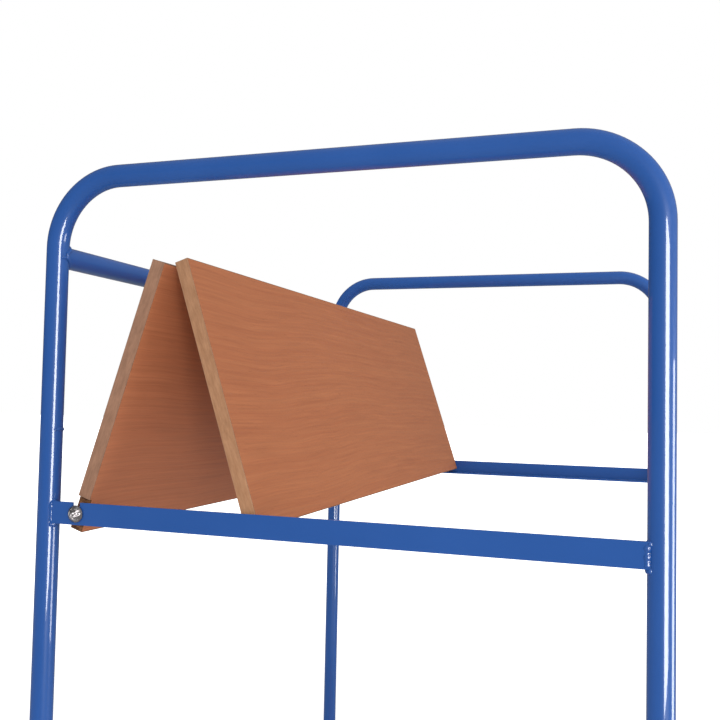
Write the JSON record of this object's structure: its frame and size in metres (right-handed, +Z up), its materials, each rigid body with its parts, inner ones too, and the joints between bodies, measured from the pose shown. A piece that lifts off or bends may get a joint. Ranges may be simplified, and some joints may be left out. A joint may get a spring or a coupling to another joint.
{
  "type": "shelf trolley",
  "caption": "Tall trolley on castors with two tube end bows, an open front, a bottom deck and a hinged two-part upper shelf that folds up like a tent.",
  "frame": {"origin": "middle of the footprint, on the floor", "axes": "+Z up; +X along the trolley from the swivel castors' end to the fixed castors' end; +Y towards the back, where the tie tube joins the bows"},
  "size_m": [1.142, 0.82, 1.545],
  "materials": {
    "blue_paint": "glossy blue powder coat",
    "beech_decor": "chipboard with a satin beech decor",
    "bright_steel": "bright polished steel",
    "zinc_plate": "bright zinc plating",
    "wheel_body": "moulded plastic",
    "tyre_rubber": "grey solid rubber"
  },
  "bodies": {
    "frame": {"end_bow_left": "blue_paint", "end_bow_right": "blue_paint", "back_tie_tube": "blue_paint", "shelf_rail_left": "blue_paint", "shelf_rail_right": "blue_paint", "base_end_rail_left": "blue_paint", "base_end_rail_right": "blue_paint", "base_side_rail_front": "blue_paint", "base_side_rail_back": "blue_paint", "corner_plate_left_front": "blue_paint", "corner_plate_left_back": "blue_paint", "corner_plate_right_front": "blue_paint", "corner_plate_right_back": "blue_paint", "deck_board": "beech_decor", "swivel_plate_front": "zinc_plate", "swivel_plate_back": "zinc_plate", "swivel_bearing_front": "zinc_plate", "swivel_bearing_back": "zinc_plate", "kingpin_front": "zinc_plate", "kingpin_back": "zinc_plate", "fixed_bracket_front": "zinc_plate", "fixed_bracket_back": "zinc_plate", "fixed_axle_front": "zinc_plate", "fixed_axle_back": "zinc_plate", "fixed_axle_nut_front": "zinc_plate", "fixed_axle_nut_back": "zinc_plate"},
    "shelf_back_half": {"shelf_board_back": "beech_decor", "pivot_pin_left": "bright_steel", "pivot_pin_right": "bright_steel", "pivot_nut_left": "zinc_plate", "pivot_nut_right": "zinc_plate", "hinge_leaf_back_left": "zinc_plate", "hinge_leaf_back_middle": "zinc_plate", "hinge_leaf_back_right": "zinc_plate", "hinge_pin_left": "zinc_plate", "hinge_pin_middle": "zinc_plate", "hinge_pin_right": "zinc_plate"},
    "shelf_front_half": {"shelf_board_front": "beech_decor", "hinge_leaf_front_left": "zinc_plate", "hinge_leaf_front_middle": "zinc_plate", "hinge_leaf_front_right": "zinc_plate"},
    "swivel_front": {"swivel_fork_front": "zinc_plate", "swivel_axle_front": "zinc_plate", "swivel_axle_nut_front": "zinc_plate"},
    "swivel_back": {"swivel_fork_back": "zinc_plate", "swivel_axle_back": "zinc_plate", "swivel_axle_nut_back": "zinc_plate"},
    "swivel_front_wheel": {"swivel_wheel_front": "wheel_body", "swivel_tyre_front": "tyre_rubber"},
    "swivel_back_wheel": {"swivel_wheel_back": "wheel_body", "swivel_tyre_back": "tyre_rubber"},
    "fixed_front_wheel": {"fixed_wheel_front": "wheel_body", "fixed_tyre_front": "tyre_rubber"},
    "fixed_back_wheel": {"fixed_wheel_back": "wheel_body", "fixed_tyre_back": "tyre_rubber"},
    "brake_front": {"brake_pedal_front": "zinc_plate"},
    "brake_back": {"brake_pedal_back": "zinc_plate"}
  },
  "joints": [
    {"name": "shelf_pivot", "type": "hinge", "parent": "frame", "child": "shelf_back_half", "pos_m": [0, 0.343, 1.075], "axis": [-1, 0, 0], "range_deg": [-71.8, 18.2]},
    {"name": "shelf_fold", "type": "hinge", "parent": "shelf_back_half", "child": "shelf_front_half", "pos_m": [0, 0.2155, 1.40836], "axis": [1, 0, 0], "range_deg": [-143.6, 36.4]},
    {"name": "swivel_front_turn", "type": "hinge", "parent": "frame", "child": "swivel_front", "pos_m": [-0.465, -0.317, 0.172], "axis": [0, 0, 1], "continuous": true},
    {"name": "swivel_back_turn", "type": "hinge", "parent": "frame", "child": "swivel_back", "pos_m": [-0.465, 0.317, 0.172], "axis": [0, 0, 1], "continuous": true},
    {"name": "swivel_front_roll", "type": "hinge", "parent": "swivel_front", "child": "swivel_front_wheel", "pos_m": [-0.415, -0.317, 0.08], "axis": [0, 1, 0], "continuous": true},
    {"name": "swivel_back_roll", "type": "hinge", "parent": "swivel_back", "child": "swivel_back_wheel", "pos_m": [-0.415, 0.317, 0.08], "axis": [0, 1, 0], "continuous": true},
    {"name": "fixed_front_roll", "type": "hinge", "parent": "frame", "child": "fixed_front_wheel", "pos_m": [0.465, -0.317, 0.08], "axis": [0, 1, 0], "continuous": true},
    {"name": "fixed_back_roll", "type": "hinge", "parent": "frame", "child": "fixed_back_wheel", "pos_m": [0.465, 0.317, 0.08], "axis": [0, 1, 0], "continuous": true},
    {"name": "brake_front_press", "type": "hinge", "parent": "swivel_front", "child": "brake_front", "pos_m": [-0.405, -0.317, 0.17], "axis": [0, 1, 0], "range_deg": [0, 7]},
    {"name": "brake_back_press", "type": "hinge", "parent": "swivel_back", "child": "brake_back", "pos_m": [-0.405, 0.317, 0.17], "axis": [0, 1, 0], "range_deg": [0, 7]}
  ],
  "couplings": [
    {"joint": "shelf_fold", "follows": "shelf_pivot", "ratio": 2}
  ]
}
